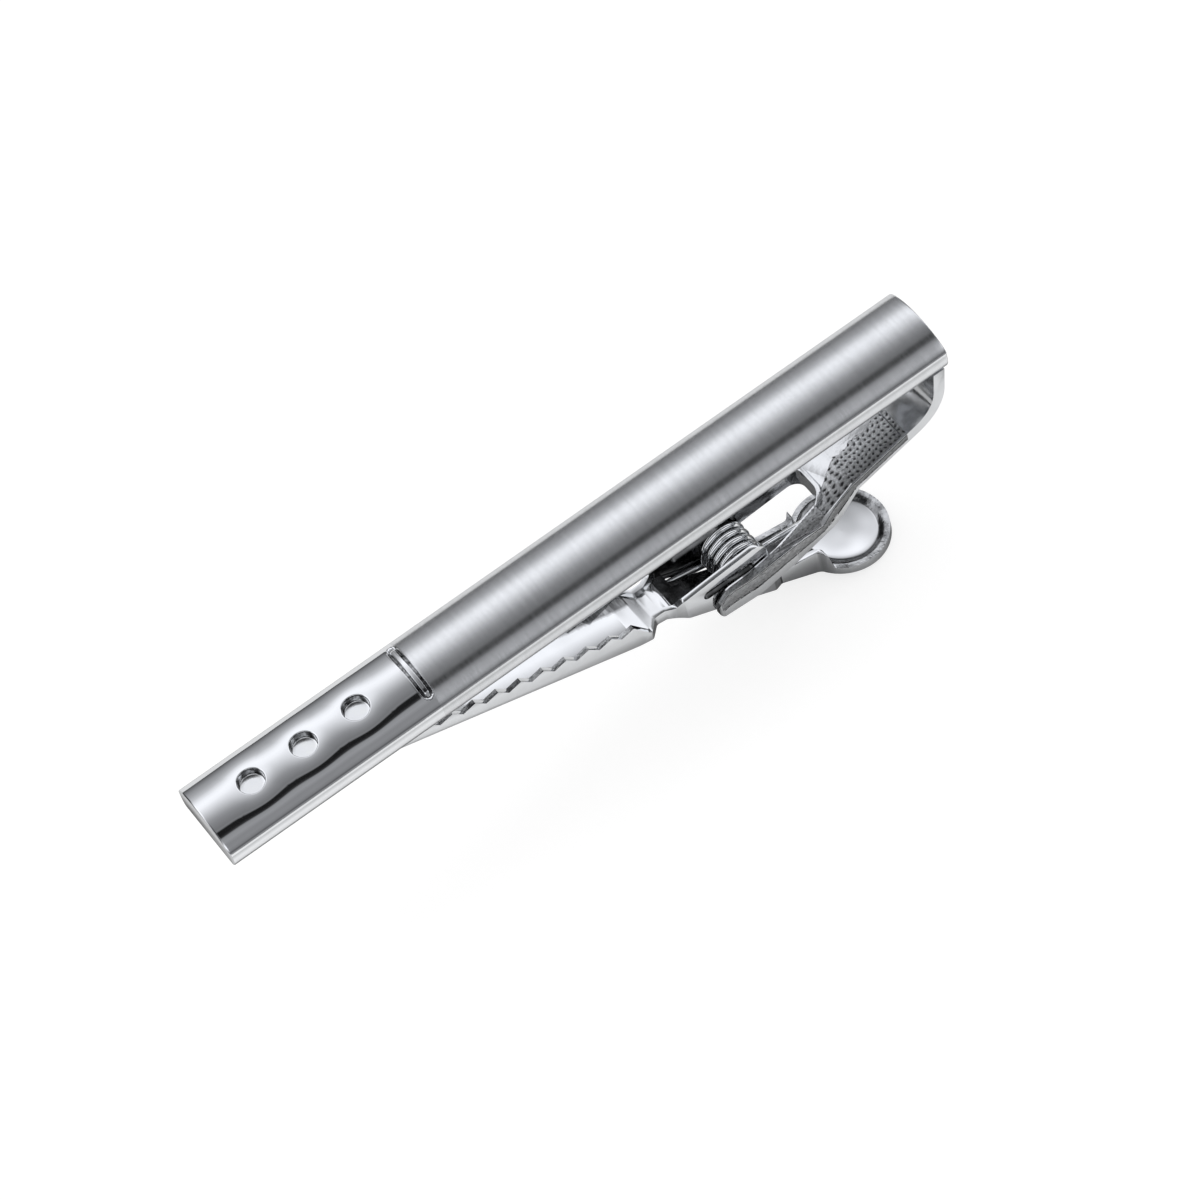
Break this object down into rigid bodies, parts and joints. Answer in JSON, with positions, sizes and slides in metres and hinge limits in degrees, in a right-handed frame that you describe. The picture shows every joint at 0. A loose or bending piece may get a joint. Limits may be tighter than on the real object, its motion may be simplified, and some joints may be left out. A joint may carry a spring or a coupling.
{
  "type": "tie clip",
  "caption": "Sprung tie clip: a slim half-round show bar with a forked hooked arm behind it and a toothed lever that pinches the tie against the bar.",
  "frame": {"origin": "middle of the bounding box in X and Y, at the lowest point of the thumb pad", "axes": "+X along the bar towards the hook, +Z out of the bar's face, -Y the side nearest to the camera in the picture"},
  "size_m": [0.06, 0.007, 0.019],
  "materials": {
    "bar": "satin along most of the bar, mirror polish beyond the groove ring",
    "arm": "polished plating over a pitted floor",
    "lever": "mirror plating",
    "spring": "plated spring wire",
    "pin": "plain"
  },
  "bodies": {
    "clip_frame": {"front_bar": "bar", "hook_arm": "arm", "torsion_spring": "spring", "pivot_pin": "pin"},
    "lever": {"jaw_lever": "lever"}
  },
  "joints": [
    {"name": "jaw_hinge", "type": "hinge", "parent": "clip_frame", "child": "lever", "pos_m": [0.0121, 0, 0.00589], "axis": [0, -1, 0], "range_deg": [0, 30], "stiffness_Nm_per_rad": 0.04, "springref_deg": -34.38, "deforming": ["torsion_spring"]}
  ]
}
